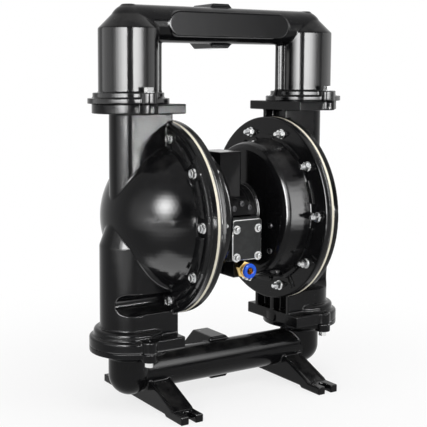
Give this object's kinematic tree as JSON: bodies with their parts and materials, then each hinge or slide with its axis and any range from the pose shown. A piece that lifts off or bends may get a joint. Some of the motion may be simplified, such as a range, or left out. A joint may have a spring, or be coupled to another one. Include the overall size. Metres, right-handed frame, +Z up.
{
  "type": "air-operated double diaphragm pump",
  "caption": "Air-operated double diaphragm pump with domed fluid caps, cross-pipe manifolds, a front air valve and forked feet.",
  "frame": {"origin": "on the floor under the middle of the pump, between the two feet and the two chambers", "axes": "+X along the manifolds, +Y from the valve side toward the ports, +Z up"},
  "size_m": [0.503, 0.328, 0.6774],
  "materials": {
    "black_casting": "gloss black paint over cast metal",
    "fastener": "bright zinc plate",
    "steel": "ground steel",
    "ptfe": "smooth off-white",
    "backup_rubber": "matt",
    "gasket": "matt",
    "bush": "bored smooth",
    "valve": "satin black",
    "brass": "turned brass",
    "blue_plastic": "moulded blue",
    "muffler": "sintered dark plastic"
  },
  "bodies": {
    "housing": {"left_fluid_cap": "black_casting", "right_fluid_cap": "black_casting", "left_air_cap": "black_casting", "right_air_cap": "black_casting", "centre_body": "black_casting", "discharge_manifold": "black_casting", "suction_manifold": "black_casting", "pilot_cover": "black_casting", "left_chamber_bolts": "fastener", "right_chamber_bolts": "fastener", "left_chamber_nuts": "fastener", "right_chamber_nuts": "fastener", "discharge_bolts": "fastener", "suction_bolts": "fastener", "valve_screws": "fastener", "pilot_cover_screws": "fastener", "left_face_screws": "fastener", "right_face_screws": "fastener", "left_core_screws": "fastener", "right_core_screws": "fastener", "left_upper_seat": "ptfe", "right_upper_seat": "ptfe", "left_lower_seat": "ptfe", "right_lower_seat": "ptfe", "centre_gaskets": "gasket", "valve_gasket": "gasket", "seat_o_rings": "gasket", "rod_seals": "gasket", "rod_bushes": "bush", "valve_body": "valve", "valve_cover": "valve", "valve_plugs": "valve", "air_inlet_fitting": "brass", "muffler": "muffler"},
    "rod": {"diaphragm_rod": "steel", "left_outer_plate": "steel", "right_outer_plate": "steel", "left_inner_plate": "steel", "right_inner_plate": "steel", "left_diaphragm": "ptfe", "right_diaphragm": "ptfe", "left_backup_diaphragm": "backup_rubber", "right_backup_diaphragm": "backup_rubber"},
    "pilot": {"pilot_rod": "steel"},
    "spool": {"valve_spool": "steel"},
    "collar": {"release_collar": "blue_plastic"},
    "left_upper_check": {"left_upper_ball": "ptfe"},
    "right_upper_check": {"right_upper_ball": "ptfe"},
    "left_lower_check": {"left_lower_ball": "ptfe"},
    "right_lower_check": {"right_lower_ball": "ptfe"}
  },
  "joints": [
    {"name": "rod_stroke", "type": "slide", "parent": "housing", "child": "rod", "axis": [1, 0, 0], "range_m": [-0.02, 0.02], "deforming": ["left_diaphragm", "left_backup_diaphragm", "right_diaphragm", "right_backup_diaphragm"]},
    {"name": "pilot_shift", "type": "slide", "parent": "housing", "child": "pilot", "axis": [1, 0, 0], "range_m": [-0.006, 0.006]},
    {"name": "spool_shift", "type": "slide", "parent": "housing", "child": "spool", "axis": [1, 0, 0], "range_m": [-0.006, 0.006]},
    {"name": "collar_press", "type": "slide", "parent": "housing", "child": "collar", "axis": [0, 1, 0], "range_m": [0, 0.0012], "stiffness_N_per_m": 300},
    {"name": "left_upper_check_lift", "type": "slide", "parent": "housing", "child": "left_upper_check", "axis": [0, 0, 1], "range_m": [0, 0.012]},
    {"name": "right_upper_check_lift", "type": "slide", "parent": "housing", "child": "right_upper_check", "axis": [0, 0, 1], "range_m": [0, 0.012]},
    {"name": "left_lower_check_lift", "type": "slide", "parent": "housing", "child": "left_lower_check", "axis": [0, 0, 1], "range_m": [0, 0.012]},
    {"name": "right_lower_check_lift", "type": "slide", "parent": "housing", "child": "right_lower_check", "axis": [0, 0, 1], "range_m": [0, 0.012]}
  ]
}
